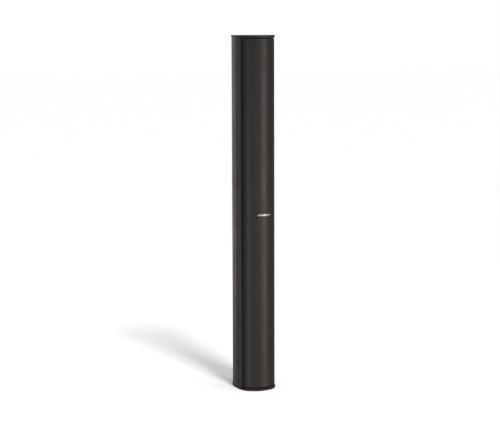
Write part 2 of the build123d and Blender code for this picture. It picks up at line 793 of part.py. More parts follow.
# Threaded inserts for a bracket, in the back channel
with BuildPart() as bracket_inserts:
    with BuildSketch(rearward_plane(channel_floor_y)):
        with Locations(*insert_points):
            Circle(insert_radius)
    extrude(amount=-insert_length)
    with BuildSketch(rearward_plane(channel_floor_y)):
        with Locations(*insert_points):
            Circle(insert_flange_radius)
    extrude(amount=insert_flange_thickness)
    with BuildSketch(rearward_plane(channel_floor_y + insert_flange_thickness)):
        with Locations(*insert_points):
            Circle(insert_thread_radius)
    extrude(amount=-insert_length - insert_flange_thickness, mode=Mode.SUBTRACT)
finish("bracket_inserts", bracket_inserts)

# Acoustic foam against the side walls, in lengths
with BuildPart() as damping_pads:
    pad_step = pad_length + pad_gap
    for index in range(pad_count):
        pad_middle_z = height / 2 + (index - (pad_count - 1) / 2) * pad_step
        with BuildSketch(Plane.XY.offset(pad_middle_z - pad_length / 2)):
            pad_side = inner_side + pad_clearance
            add_outline(pad_side, inner_nose, inner_back)
            add_outline(pad_side + pad_thickness, inner_nose + pad_thickness, inner_back,
                        Mode.SUBTRACT)
            cut_before(pad_front_y)
            cut_behind(pad_back_y)
        extrude(amount=pad_length)
finish("damping_pads", damping_pads)

# Internal cable: a trunk up the back with a lead to each driver and one to each socket
with BuildPart() as wiring_loom:
    loom_bottom_z = height / 2 + min(driver_offsets[0], socket_offsets[0]) - loom_radius
    loom_top_z = height / 2 + driver_offsets[-1] + loom_radius
    with BuildSketch(Plane.XY.offset(loom_bottom_z)):
        with Locations((loom_x, loom_y)):
            Circle(loom_radius)
    extrude(amount=loom_top_z - loom_bottom_z)
    with BuildSketch(forward_plane(loom_y)):
        with Locations(*[(loom_x, offset) for offset in driver_offsets]):
            Circle(lead_radius)
    extrude(amount=loom_y - seat_y - bowl_depth)
    with BuildSketch(Plane.YZ.offset(loom_x)):
        with Locations(*[(loom_y, height / 2 + offset) for offset in socket_offsets]):
            Circle(lead_radius)
    extrude(amount=-loom_x - socket_radius - lead_clearance)
finish("wiring_loom", wiring_loom)
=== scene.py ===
"""Looks of a slim column loudspeaker: perforated bowed grille, powder-coated shell, moulded caps.

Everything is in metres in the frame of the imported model: +Z is up, the front faces -Y and the
column stands on the floor at the origin.
"""
import logging
import math
from dataclasses import dataclass, field
from enum import Enum
from typing import Sequence

import bpy
import numpy as np
from mathutils import Matrix, Vector


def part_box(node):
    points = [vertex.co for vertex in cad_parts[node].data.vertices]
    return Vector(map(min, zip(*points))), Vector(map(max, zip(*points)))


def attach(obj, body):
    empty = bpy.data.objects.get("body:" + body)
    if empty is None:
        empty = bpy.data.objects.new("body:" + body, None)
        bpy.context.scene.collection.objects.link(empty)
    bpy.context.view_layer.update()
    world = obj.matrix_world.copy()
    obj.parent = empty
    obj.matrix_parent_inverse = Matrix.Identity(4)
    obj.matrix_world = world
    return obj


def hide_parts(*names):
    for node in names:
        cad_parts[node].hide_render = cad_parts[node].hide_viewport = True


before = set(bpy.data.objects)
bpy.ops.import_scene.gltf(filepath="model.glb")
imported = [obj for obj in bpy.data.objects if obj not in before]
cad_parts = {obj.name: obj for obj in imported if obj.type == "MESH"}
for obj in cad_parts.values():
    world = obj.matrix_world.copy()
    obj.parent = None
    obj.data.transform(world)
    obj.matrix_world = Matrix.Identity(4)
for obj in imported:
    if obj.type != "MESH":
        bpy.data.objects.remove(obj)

log = logging.getLogger("column")
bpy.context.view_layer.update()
COLUMN = "column"
WAVE_PITCH = 0.314  # metres between the bands of a wave pattern at scale 1
WIDEST_Y = -0.021  # depth of the widest section, where the front's half ellipse is centred
GROOVE_Y = -0.006  # depth of the groove down each side


class Axis3(Enum):
    """Row axes, as indices into a point."""

    X = 0
    Y = 1
    Z = 2


def node_extent(name: str, axis: Axis3) -> tuple[float, float]:
    """Lowest and highest coordinate of a node along one axis.

    Args:
        name: the node's name.
        axis: the row axis to read.

    Returns:
        The two limits in metres.
    """
    low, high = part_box(name)
    return low[axis.value], high[axis.value]


# ---------------------------------------------------------------- meshes


def mesh_object(name: str, points: np.ndarray, faces: Sequence[Sequence[int]] | np.ndarray,
                uv: np.ndarray | None = None, sharp_degrees: float = 40.0) -> bpy.types.Object:
    """Make a smooth-shaded object whose edges sharper than an angle stay crisp.

    Args:
        name: object and mesh name.
        points: n by 3 array of positions.
        faces: m by 4 or m by 3 array of corner indices.
        uv: optional n by 2 array, one texture place for each point.
        sharp_degrees: angle between faces past which an edge is sharp.

    Returns:
        The new object, linked to the scene and standing at the origin.
    """
    faces = np.asarray(faces, dtype=np.int32)
    count, corners = faces.shape
    mesh = bpy.data.meshes.new(name)
    mesh.vertices.add(len(points))
    mesh.vertices.foreach_set("co", np.asarray(points, dtype=np.float32).ravel())
    mesh.loops.add(count * corners)
    mesh.loops.foreach_set("vertex_index", faces.ravel())
    mesh.polygons.add(count)
    mesh.polygons.foreach_set("loop_start", np.arange(0, count * corners, corners, dtype=np.int32))
    mesh.update(calc_edges=True)
    mesh.validate()
    if uv is not None:
        layer = mesh.uv_layers.new(name="OFBake")
        layer.data.foreach_set("uv", np.asarray(uv, dtype=np.float32)[faces.ravel()].ravel())
    mesh.polygons.foreach_set("use_smooth", np.ones(count, dtype=bool))
    mesh.set_sharp_from_angle(angle=math.radians(sharp_degrees))
    made = bpy.data.objects.new(name, mesh)
    bpy.context.scene.collection.objects.link(made)
    return made


# ---------------------------------------------------------------- materials


class Recipe:
    """A material being written: short calls that add nodes and join them."""

    def __init__(self, name: str) -> None:
        """Start a material with a bare Principled shader.

        Args:
            name: the material's name.
        """
        self.material = bpy.data.materials.new(name)
        self.material.use_nodes = True
        self.tree = self.material.node_tree
        self.shader = self.tree.nodes["Principled BSDF"]
        self.places = self.add("ShaderNodeTexCoord").outputs["Object"]

    def add(self, kind: str, **values: object) -> bpy.types.Node:
        """Add a node and set its properties.

        Args:
            kind: the node's type name.
            values: properties to set on it.

        Returns:
            The new node.
        """
        node = self.tree.nodes.new(kind)
        for key, value in values.items():
            setattr(node, key, value)
        return node

    def join(self, source: bpy.types.NodeSocket, target: bpy.types.NodeSocket) -> None:
        """Join an output to an input."""
        self.tree.links.new(source, target)

    def stretched(self, scale: tuple[float, float, float]) -> bpy.types.NodeSocket:
        """Object places multiplied along each axis.

        Args:
            scale: factors for X, Y and Z.

        Returns:
            The vector output.
        """
        mapping = self.add("ShaderNodeMapping")
        mapping.inputs["Scale"].default_value = scale
        self.join(self.places, mapping.inputs["Vector"])
        return mapping.outputs["Vector"]

    def noise(self, size: float, detail: float = 3.0, rough: float = 0.55,
              vector: bpy.types.NodeSocket | None = None) -> bpy.types.NodeSocket:
        """Noise whose lumps are about one size across.

        Args:
            size: size of the lumps in metres.
            detail: number of finer layers.
            rough: strength of the finer layers.
            vector: places to read instead of the object's own.

        Returns:
            The factor output.
        """
        node = self.add("ShaderNodeTexNoise")
        node.inputs["Scale"].default_value = 1.0 / size
        node.inputs["Detail"].default_value = detail
        node.inputs["Roughness"].default_value = rough
        self.join(vector or self.places, node.inputs["Vector"])
        return node.outputs["Fac"]

    def cells(self, size: float) -> bpy.types.NodeSocket:
        """Pattern of cells, each darkest at its middle.

        Args:
            size: size of a cell in metres.

        Returns:
            The output that gives the distance from a cell's middle.
        """
        node = self.add("ShaderNodeTexVoronoi")
        node.inputs["Scale"].default_value = 1.0 / size
        self.join(self.places, node.inputs["Vector"])
        return node.outputs["Distance"]

    def waves(self, pitch: float, direction: str) -> bpy.types.NodeSocket:
        """Straight bands of one pitch along an axis.

        Args:
            pitch: distance between bands in metres.
            direction: X, Y or Z.

        Returns:
            The factor output.
        """
        node = self.add("ShaderNodeTexWave", bands_direction=direction)
        node.inputs["Scale"].default_value = WAVE_PITCH / pitch
        self.join(self.places, node.inputs["Vector"])
        return node.outputs["Fac"]

    def mixed(self, factor: bpy.types.NodeSocket, low: Sequence[float],
              high: Sequence[float]) -> bpy.types.NodeSocket:
        """Colour that goes from one tone to another with a factor.

        Args:
            factor: the output that chooses.
            low: colour at 0.
            high: colour at 1.

        Returns:
            The colour output.
        """
        node = self.add("ShaderNodeMix", data_type="RGBA")
        node.inputs[6].default_value = (*low, 1.0)
        node.inputs[7].default_value = (*high, 1.0)
        self.join(factor, node.inputs[0])
        return node.outputs[2]

    def over(self, factor: bpy.types.NodeSocket, under: bpy.types.NodeSocket,
             top: Sequence[float]) -> bpy.types.NodeSocket:
        """Lay a plain colour over another where a factor is 1.

        Args:
            factor: the output that chooses.
            under: colour output at 0.
            top: colour at 1.

        Returns:
            The colour output.
        """
        node = self.add("ShaderNodeMix", data_type="RGBA")
        self.join(factor, node.inputs[0])
        self.join(under, node.inputs[6])
        node.inputs[7].default_value = (*top, 1.0)
        return node.outputs[2]

    def band(self, axis: Axis3, middle: float, half: float) -> bpy.types.NodeSocket:
        """Mask that is 1 where a coordinate lies within half a width of a middle.

        Args:
            axis: which coordinate.
            middle: the band's middle in metres.
            half: half its width in metres.

        Returns:
            The value output.
        """
        split = self.add("ShaderNodeSeparateXYZ")
        self.join(self.places, split.inputs[0])
        node = self.add("ShaderNodeMath", operation="COMPARE")
        self.join(split.outputs[axis.value], node.inputs[0])
        node.inputs[1].default_value = middle
        node.inputs[2].default_value = half
        return node.outputs["Value"]

    def ranged(self, factor: bpy.types.NodeSocket, low: float, high: float,
               start: float = 0.3, end: float = 0.7) -> bpy.types.NodeSocket:
        """Number carried from a factor's middle range to a range of its own.

        Args:
            factor: the output to read.
            low: value at start.
            high: value at end.
            start: factor that gives low.
            end: factor that gives high.

        Returns:
            The result output.
        """
        node = self.add("ShaderNodeMapRange")
        node.inputs["From Min"].default_value = start
        node.inputs["From Max"].default_value = end
        node.inputs["To Min"].default_value = low
        node.inputs["To Max"].default_value = high
        self.join(factor, node.inputs["Value"])
        return node.outputs["Result"]

    def summed(self, first: bpy.types.NodeSocket, second: bpy.types.NodeSocket,
               operation: str = "ADD") -> bpy.types.NodeSocket:
        """Two numbers put together.

        Args:
            first: first input.
            second: second input.
            operation: the Math node's operation.

        Returns:
            The value output.
        """
        node = self.add("ShaderNodeMath", operation=operation)
        self.join(first, node.inputs[0])
        self.join(second, node.inputs[1])
        return node.outputs["Value"]

    def bump(self, height: bpy.types.NodeSocket, depth: float, strength: float = 1.0) -> None:
        """Give the surface relief from a height, over any relief it already has.

        Args:
            height: the height pattern.
            depth: how deep a full step is, in metres.
            strength: share of the relief that shows.
        """
        node = self.add("ShaderNodeBump")
        node.inputs["Distance"].default_value = depth
        node.inputs["Strength"].default_value = strength
        self.join(height, node.inputs["Height"])
        normal = self.shader.inputs["Normal"]
        if normal.links:
            self.join(normal.links[0].from_socket, node.inputs["Normal"])
        self.join(node.outputs["Normal"], normal)

    def set(self, **values: object) -> None:
        """Set values on the shader's own sockets; an underscore stands for a space."""
        for key, value in values.items():
            self.shader.inputs[key.replace("_", " ")].default_value = value


def tint(tone: Sequence[float], factor: float) -> tuple[float, float, float]:
    """A colour made lighter or darker by one factor."""
    return tuple(min(1.0, channel * factor) for channel in tone)


@dataclass(frozen=True)
class PowderCoat:
    """Baked powder coat: fine orange peel over metal, with faint unevenness of tone.

    A band is painted shade: a strip that runs upright at one depth, darkened and dulled where a recess or
    gap lies in shade.
    """

    name: str
    tone: tuple[float, float, float]
    gloss: float = 0.5
    grain: float = 0.0007
    relief: float = 0.00005
    specular: float = 0.4
    # Bands of painted shade: dark, dull strips standing in for the shade in a recess or gap.
    painted_shade_bands: tuple[tuple[float, float], ...] = ()  # middle depth and half width of each
    painted_shade_tint: float = 0.1
    shade_band_dulling: float = 0.5
    cloud_size: float = 0.05
    uneven: float = 0.12
    gloss_swing: float = 0.05

    def make(self) -> bpy.types.Material:
        """Write the material."""
        recipe = Recipe(self.name)
        peel = recipe.noise(self.grain, 2.0)
        cloud = recipe.noise(self.cloud_size, 4.0)
        colour = recipe.mixed(cloud, tint(self.tone, 1 - self.uneven), tint(self.tone, 1 + self.uneven))
        swing = self.gloss_swing
        spots = recipe.summed(recipe.ranged(peel, -swing, swing),
                              recipe.ranged(cloud, self.gloss - swing, self.gloss + swing))
        # Painted shade: inside each band the colour is darkened, to a tenth of the tone by default, and
        # the coat dulled, standing in for the shade in the groove and the gap.
        for middle, half in self.painted_shade_bands:
            inside = recipe.band(Axis3.Y, middle, half)
            colour = recipe.over(inside, colour, tint(self.tone, self.painted_shade_tint))
            dulled = recipe.ranged(inside, 0.0, self.shade_band_dulling, 0.0, 1.0)
            spots = recipe.summed(spots, dulled)
        recipe.join(colour, recipe.shader.inputs["Base Color"])
        recipe.join(spots, recipe.shader.inputs["Roughness"])
        recipe.bump(peel, self.relief)
        recipe.set(Specular_IOR_Level=self.specular)
        return recipe.material


@dataclass(frozen=True)
class MouldedPlastic:
    """Injection-moulded plastic with a fine spark-eroded grain and slight flow marks."""

    name: str
    tone: tuple[float, float, float]
    gloss: float = 0.45
    grain: float = 0.0005
    relief: float = 0.00004
    specular: float = 0.5
    flow_size: float = 0.03
    uneven: float = 0.1

    def make(self) -> bpy.types.Material:
        """Write the material."""
        recipe = Recipe(self.name)
        grain = recipe.cells(self.grain)
        flow = recipe.noise(self.flow_size, 3.0, 0.6, recipe.stretched((1.0, 1.0, 3.0)))
        recipe.join(recipe.mixed(flow, tint(self.tone, 1 - self.uneven), tint(self.tone, 1 + self.uneven)),
                    recipe.shader.inputs["Base Color"])
        recipe.join(recipe.ranged(flow, self.gloss - 0.04, self.gloss + 0.06),
                    recipe.shader.inputs["Roughness"])
        recipe.bump(grain, self.relief, 0.7)
        recipe.set(Specular_IOR_Level=self.specular)
        return recipe.material


@dataclass(frozen=True)
class BrushedMetal:
    """Metal brushed along one direction, with fine scratches in tone and gloss."""

    name: str
    tone: tuple[float, float, float]
    gloss: float = 0.3
    along: tuple[float, float, float] = (8.0, 900.0, 900.0)
    relief: float = 0.00001
    smear_size: float = 0.008

    def make(self) -> bpy.types.Material:
        """Write the material."""
        recipe = Recipe(self.name)
        strokes = recipe.noise(1.0, 4.0, 0.6, recipe.stretched(self.along))
        smear = recipe.noise(self.smear_size, 2.0)
        recipe.join(recipe.mixed(strokes, tint(self.tone, 0.82), tint(self.tone, 1.1)),
                    recipe.shader.inputs["Base Color"])
        recipe.join(recipe.summed(recipe.ranged(strokes, -0.06, 0.08),
                                  recipe.ranged(smear, self.gloss - 0.04, self.gloss + 0.06)),
                    recipe.shader.inputs["Roughness"])
        recipe.bump(strokes, self.relief)
        recipe.set(Metallic=1.0, Anisotropic=0.4)
        return recipe.material


@dataclass(frozen=True)
class PlatedSteel:
    """Pressed or turned steel under a thin plating, with cloudy gloss and small pits."""

    name: str
    tone: tuple[float, float, float]
    gloss: float = 0.32
    cloud_size: float = 0.006
    pit_size: float = 0.0006
    pit_depth: float = 0.00002

    def make(self) -> bpy.types.Material:
        """Write the material."""
        recipe = Recipe(self.name)
        cloud = recipe.noise(self.cloud_size, 5.0, 0.65)
        pits = recipe.noise(self.pit_size, 2.0)
        recipe.join(recipe.mixed(cloud, tint(self.tone, 0.85), tint(self.tone, 1.08)),
                    recipe.shader.inputs["Base Color"])
        recipe.join(recipe.ranged(cloud, self.gloss - 0.08, self.gloss + 0.1),
                    recipe.shader.inputs["Roughness"])
        recipe.bump(pits, self.pit_depth, 0.6)
        recipe.set(Metallic=0.9)
        return recipe.material


@dataclass(frozen=True)
class WovenCloth:
    """Plain weave of two crossing sets of threads, with slubs in the thread."""

    name: str
    tone: tuple[float, float, float]
    pitch: float = 0.0008
    relief: float = 0.00015
    slub_size: float = 0.004

    def make(self) -> bpy.types.Material:
        """Write the material."""
        recipe = Recipe(self.name)
        weave = recipe.summed(recipe.waves(self.pitch, "X"), recipe.waves(self.pitch, "Z"), "MULTIPLY")
        slub = recipe.noise(self.slub_size, 3.0)
        recipe.join(recipe.mixed(recipe.summed(weave, slub, "MULTIPLY"), tint(self.tone, 0.5),
                                 tint(self.tone, 1.5)), recipe.shader.inputs["Base Color"])
        recipe.join(recipe.ranged(slub, 0.85, 0.95), recipe.shader.inputs["Roughness"])
        recipe.bump(weave, self.relief)
        recipe.set(Specular_IOR_Level=0.2, Sheen_Weight=0.15, Sheen_Roughness=0.5)
        return recipe.material


@dataclass(frozen=True)
class OpenFoam:
    """Open-cell foam: small pores that darken the surface and dent it."""

    name: str
    tone: tuple[float, float, float]
    pore: float = 0.0016
    dent: float = 0.0006
    cloud_size: float = 0.02

    def make(self) -> bpy.types.Material:
        """Write the material."""
        recipe = Recipe(self.name)
        pores = recipe.cells(self.pore)
        cloud = recipe.noise(self.cloud_size, 3.0)
        recipe.join(recipe.mixed(recipe.summed(pores, cloud, "MULTIPLY"), tint(self.tone, 1.3),
                                 tint(self.tone, 0.5)), recipe.shader.inputs["Base Color"])
        recipe.join(recipe.ranged(cloud, 0.88, 0.98), recipe.shader.inputs["Roughness"])
        recipe.bump(pores, self.dent, 0.8)
        recipe.set(Specular_IOR_Level=0.15)
        return recipe.material


@dataclass(frozen=True)
class SoftRubber:
    """Rubber or PVC: near black or coloured, with a soft bloom and fine mould texture."""

    name: str
    tone: tuple[float, float, float]
    gloss: float = 0.6
    bloom_size: float = 0.012
    grain: float = 0.0004
    relief: float = 0.00003

    def make(self) -> bpy.types.Material:
        """Write the material."""
        recipe = Recipe(self.name)
        bloom = recipe.noise(self.bloom_size, 4.0)
        texture = recipe.noise(self.grain, 2.0)
        recipe.join(recipe.mixed(bloom, self.tone, tint(self.tone, 1.35)),
                    recipe.shader.inputs["Base Color"])
        recipe.join(recipe.ranged(bloom, self.gloss - 0.07, self.gloss + 0.1),
                    recipe.shader.inputs["Roughness"])
        recipe.bump(texture, self.relief)
        recipe.set(Specular_IOR_Level=0.4)
        return recipe.material


@dataclass(frozen=True)
class PaperPulp:
    """Pressed paper cone: crossing fibres and a mottled, dull face."""

    name: str
    tone: tuple[float, float, float]
    fibre: float = 0.0012
    relief: float = 0.00012

    def make(self) -> bpy.types.Material:
        """Write the material."""
        recipe = Recipe(self.name)
        upright = recipe.noise(self.fibre, 4.0, 0.6, recipe.stretched((1.0, 1.0, 0.25)))
        level = recipe.noise(self.fibre, 4.0, 0.6, recipe.stretched((0.25, 1.0, 1.0)))
        fibres = recipe.summed(upright, level, "MAXIMUM")
        recipe.join(recipe.mixed(fibres, tint(self.tone, 0.6), tint(self.tone, 1.7)),
                    recipe.shader.inputs["Base Color"])
        recipe.join(recipe.ranged(fibres, 0.75, 0.92), recipe.shader.inputs["Roughness"])
        recipe.bump(fibres, self.relief)
        recipe.set(Specular_IOR_Level=0.25)
        return recipe.material


class Tone:
    """Base colours of the object's finishes, as linear values."""

    CHARCOAL = (0.034, 0.030, 0.0275)
    GRAPHITE = (0.034, 0.030, 0.0275)
    SOOT = (0.012, 0.012, 0.012)
    # Near black used as painted shade in the side gaps: on the grille's folded edge, and on the baffle,
    # which is partly its own black.
    GAP_SHADE_PITCH = (0.004, 0.004, 0.004)
    SILVER = (0.52, 0.52, 0.52)
    ANODISED = (0.055, 0.050, 0.047)
    ZINC = (0.50, 0.50, 0.48)
    BLACK_OXIDE = (0.05, 0.05, 0.05)
    BRASS = (0.62, 0.45, 0.20)
    FERRITE = (0.08, 0.08, 0.085)
    AMBER = (0.42, 0.25, 0.08)
    NAVY = (0.010, 0.016, 0.040)
    GREY_FOAM = (0.06, 0.06, 0.062)
    RED_CABLE = (0.18, 0.012, 0.010)


class Finishes:
    """All the object's materials, each made once."""

    def __init__(self) -> None:
        """Write every material."""
        front_edge = node_extent("enclosure_shell", Axis3.Y)[0]
        # Painted shade on the shell: a dark band along each side groove and a thin one along the front
        # edge, where the gap to the grille falls in shade.
        painted_shade_bands = ((GROOVE_Y, 0.0018), (front_edge, 0.0004))
        self.shell = PowderCoat("shell_powder_coat", Tone.GRAPHITE, 0.45, painted_shade_bands=painted_shade_bands).make()
        # Painted shade: the grille's folded edge is near black with little specular, not the grille's
        # charcoal, so the gap beside it reads dark.
        self.fold = PowderCoat("fold_painted_shade_coat", Tone.GAP_SHADE_PITCH, 0.75, specular=0.12).make()
        self.grille = PowderCoat("grille_powder_coat", Tone.CHARCOAL, 0.42).make()
        # The baffle's near black with little specular is partly its own black and partly painted shade for
        # the gap it shows through.
        self.baffle = PowderCoat("baffle_powder_coat", Tone.GAP_SHADE_PITCH, 0.75, specular=0.12).make()
        self.panel = PowderCoat("panel_powder_coat", Tone.SOOT, 0.42, 0.0005).make()
        self.cap = MouldedPlastic("cap_plastic", tint(Tone.GRAPHITE, 0.8), 0.5, specular=0.3).make()
        # Painted shade: the bottom cap is the top cap's graphite plastic at a darker tone, standing in for
        # the shade near the floor.
        self.shaded_foot = MouldedPlastic("foot_plastic_painted_shade", tint(Tone.GRAPHITE, 0.5), 0.55, specular=0.25).make()
        self.socket = MouldedPlastic("socket_nylon", Tone.NAVY, 0.38).make()
        self.badge = BrushedMetal("badge_plate_anodised", Tone.ANODISED, 0.45).make()
        self.badge_bars = BrushedMetal("badge_bar_aluminium", Tone.SILVER).make()
        self.zinc = PlatedSteel("zinc_plate", Tone.ZINC).make()
        self.oxide = PlatedSteel("black_oxide", Tone.BLACK_OXIDE, 0.4).make()
        self.brass = PlatedSteel("insert_brass", Tone.BRASS, 0.3).make()
        self.magnet = PlatedSteel("motor_steel", Tone.FERRITE, 0.45).make()
        self.basket = PowderCoat("basket_powder_coat", Tone.SOOT, 0.4).make()
        self.cone = PaperPulp("cone_paper", Tone.CHARCOAL).make()
        self.surround = SoftRubber("surround_rubber", Tone.SOOT).make()
        self.spider = WovenCloth("spider_cloth", Tone.AMBER, 0.0009).make()
        self.scrim = WovenCloth("scrim_cloth", Tone.SOOT, 0.0007).make()
        self.gasket = SoftRubber("gasket_rubber", Tone.SOOT, 0.8).make()
        self.foam = OpenFoam("damping_foam", Tone.GREY_FOAM).make()
        self.cable = SoftRubber("cable_sheath", Tone.RED_CABLE, 0.45).make()


def dress(name: str, material: bpy.types.Material) -> None:
    """Give a carried-over node its material."""
    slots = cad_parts[name].data.materials
    if not slots:
        slots.append(material)
    for index in range(len(slots)):
        slots[index] = material


# ---------------------------------------------------------------- sub-assemblies


@dataclass
class GrilleSheet:
    """Bowed perforated front: a staggered lattice of six-sided holes laid on half an ellipse."""

    thickness: float = 0.001
    pitch: float = 0.0040
    hole_radius: float = 0.00135
    margin: float = 0.0012
    middle_y: float = WIDEST_Y
    fold_radius: float = 0.0012
    fold_reach: float = 0.0060
    fold_inset: float = 0.0003
    end_clearance: float = 0.0009
    uv_border: float = 0.01
    low: Vector = field(default_factory=lambda: Vector(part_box("grille")[0]))
    high: Vector = field(default_factory=lambda: Vector(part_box("grille")[1]))

    def __post_init__(self) -> None:
        """Work out the ellipse from the node's box.

        The sheet's edge lies at the box's back, where the ellipse x = a sin t, y = m - b cos t has
        its box's half width, so a = half width / sin t with cos t = (m - back) / b.
        """
        self.low.z += self.end_clearance
        self.high.z -= self.end_clearance
        self.front = self.middle_y - self.low.y
        back = self.high.y
        turn = math.acos((self.middle_y - back) / self.front)
        self.side = self.high.x / math.sin(turn)
        self.turn = turn
        angles = np.linspace(-turn, turn, 4001)
        steps = np.hypot(np.diff(self.side * np.sin(angles)), np.diff(self.front * np.cos(angles)))
        self.angles = angles
        self.arc = np.concatenate([[0.0], np.cumsum(steps)])
        self.length = float(self.arc[-1])

    def place(self, along: np.ndarray, up: np.ndarray, inward: np.ndarray) -> np.ndarray:
        """Carry flat places on to the bowed sheet.

        A point at arc length s has angle t on the ellipse; it stands at
        (a sin t, m - b cos t) moved by the inward distance against the outward normal
        (b sin t, -a cos t) / |...|.

        Args:
            along: arc lengths from the left edge.
            up: heights.
            inward: distances under the outer face.

        Returns:
            n by 3 array of positions.
        """
        t = np.interp(along, self.arc, self.angles)
        normal_x = self.front * np.sin(t)
        normal_y = -self.side * np.cos(t)
        size = np.hypot(normal_x, normal_y)
        x = self.side * np.sin(t) - inward * normal_x / size
        y = self.middle_y - self.front * np.cos(t) - inward * normal_y / size
        return np.stack([x, y, up], axis=-1)

    def lattice(self) -> tuple[np.ndarray, np.ndarray, int, int]:
        """Centres of all holes in the flat sheet.

        Rows stand pitch times the root of three quarters apart and odd rows are half a pitch over
        and one hole short, so both sides end alike.

        Returns:
            Arc lengths, heights, columns in an even row, and rows.
        """
        columns = int((self.length - 2 * self.margin) / self.pitch)
        self.cell = (self.length - 2 * self.margin) / columns
        height = self.high.z - self.low.z - 2 * self.margin
        rows = int(height / (self.cell * math.sqrt(0.75)))
        rows -= 1 - rows % 2
        self.row_step = height / (rows + 1 / 3)
        row, column = np.meshgrid(np.arange(rows), np.arange(columns), indexing="ij")
        along = self.margin + (column + 0.5 + 0.5 * (row % 2)) * self.cell
        up = self.low.z + self.margin + (row + 2 / 3) * self.row_step
        keep = (column + (row % 2)) < columns
        return along[keep], up[keep], columns, rows

    def build(self, name: str, first: float, last: float) -> bpy.types.Object:
        """Make the perforated sheet between two shares of its height.

        Each cell is a hexagon round a smaller hexagonal hole. Six quads join them on the front and
        six on the back, six line the hole, and edges that only one cell has are closed by a quad
        through the sheet. Outer cells are drawn out to the sheet's straight edges.

        Args:
            name: piece name.
            first: share of the rows where it starts.
            last: share of the rows where it ends.

        Returns:
            The new object.
        """
        along, up, columns, rows = self.lattice()
        row = np.rint((up - up.min()) / self.row_step).astype(int)
        keep = (row >= round(first * rows)) & (row < round(last * rows))
        along, up = along[keep], up[keep]
        corner = np.arange(6)
        angle = np.pi / 6 + corner * np.pi / 3
        cell_x = self.cell / 2 * np.array([1, 0, -1, -1, 0, 1])
        cell_z = self.row_step / 3 * np.array([1, 2, 1, -1, -2, -1])
        rim_s = along[:, None] + cell_x
        rim_z = up[:, None] + cell_z
        tiny, same_place = self.cell * 0.01, self.cell * 0.05
        left, right = self.margin + self.cell / 2, self.length - self.margin - self.cell / 2
        rim_s = np.where(rim_s <= left + tiny, 0.0, rim_s)
        rim_s = np.where(rim_s >= right - tiny, self.length, rim_s)
        floor_z = self.low.z + self.margin + self.row_step / 3
        roof_z = self.low.z + self.margin + rows * self.row_step
        rim_z = np.where(rim_z <= floor_z + tiny, self.low.z, rim_z)
        rim_z = np.where(rim_z >= roof_z - tiny, self.high.z, rim_z)
        flat = np.stack([rim_s.ravel(), rim_z.ravel()], axis=-1)
        _, pick, index = np.unique(np.rint(flat / same_place).astype(np.int64), axis=0,
                                   return_index=True, return_inverse=True)
        index = index.reshape(-1, 6)
        rim = flat[pick]
        hole_s = along[:, None] + self.hole_radius * np.cos(angle)
        hole_z = up[:, None] + self.hole_radius * np.sin(angle)
        hole = np.stack([hole_s.ravel(), hole_z.ravel()], axis=-1)
        hole_index = np.arange(len(hole)).reshape(-1, 6) + len(rim)
        flat = np.concatenate([rim, hole])
        count = len(flat)
        front = self.place(flat[:, 0], flat[:, 1], np.zeros(count))
        back = self.place(flat[:, 0], flat[:, 1], np.full(count, self.thickness))
        after = np.roll(corner, -1)
        quads = np.stack([index, index[:, after], hole_index[:, after], hole_index], axis=-1)
        quads = quads.reshape(-1, 4)
        lining = np.stack([hole_index, hole_index[:, after], hole_index[:, after] + count,
                           hole_index + count], axis=-1).reshape(-1, 4)
        edges = np.stack([index, index[:, after]], axis=-1).reshape(-1, 2)
        _, which, times = np.unique(np.sort(edges, axis=1), axis=0, return_inverse=True,
                                    return_counts=True)
        lone = edges[times[which.ravel()] == 1]
        lone = lone[lone[:, 0] != lone[:, 1]]
        border = np.stack([lone[:, 1], lone[:, 0], lone[:, 0] + count, lone[:, 1] + count], axis=-1)
        faces = np.concatenate([quads, quads[:, ::-1] + count, lining, border])
        return mesh_object(name, np.concatenate([front, back]), faces, self.unwrap(flat))

    def unwrap(self, flat: np.ndarray) -> np.ndarray:
        """Texture places: the front fills the left half of the square and the back the right.

        Args:
            flat: n by 2 array of arc lengths and heights.

        Returns:
            2n by 2 array, the front's places and then the back's.
        """
        up = (flat[:, 1] - self.low.z) / (self.high.z - self.low.z)
        up = self.uv_border + (1 - 2 * self.uv_border) * up
        left = 2 * self.uv_border + (0.5 - 5 * self.uv_border) * flat[:, 0] / self.length
        right = left + 0.5 + self.uv_border
        return np.concatenate([np.stack([left, up], axis=-1), np.stack([right, up], axis=-1)])

    def fold(self, name: str, side: int) -> bpy.types.Object:
        """Make the edge that folds in against the baffle.

        The profile is the sheet's last stretch, then a straight flange across, carried up the
        whole height.

        Args:
            name: piece name.
            side: +1 for the right edge, -1 for the left.

        Returns:
            The new object.
        """
        back = self.high.y
        outer = self.high.x - self.fold_inset
        inner = outer - self.fold_reach
        bend = np.linspace(0.0, np.pi / 2, 7)
        centre_x, centre_y = outer - self.fold_radius, back - self.fold_radius
        outside = np.stack([centre_x + self.fold_radius * np.cos(bend),
                            centre_y + self.fold_radius * np.sin(bend)], axis=-1)
        small = self.fold_radius - self.thickness
        inside = np.stack([centre_x + small * np.cos(bend), centre_y + small * np.sin(bend)], axis=-1)
        ring = np.concatenate([outside, [[inner, back]], [[inner, back - self.thickness]],
                               inside[::-1]])
        ring[:, 0] *= side
        levels = np.array([self.low.z, self.high.z])
        points = np.concatenate([np.column_stack([ring, np.full(len(ring), z)]) for z in levels])
        number = len(ring)
        here = np.arange(number)
        there = np.roll(here, -1)
        walls = np.stack([here, there, there + number, here + number], axis=-1)
        half = number // 2
        strip = np.arange(half - 1)
        ends = np.stack([strip, number - 1 - strip, number - 2 - strip, strip + 1], axis=-1)
        faces = np.concatenate([walls, ends, ends[:, ::-1] + number])
        if side < 0:
            faces = faces[:, ::-1]
        return mesh_object(name, points, faces)

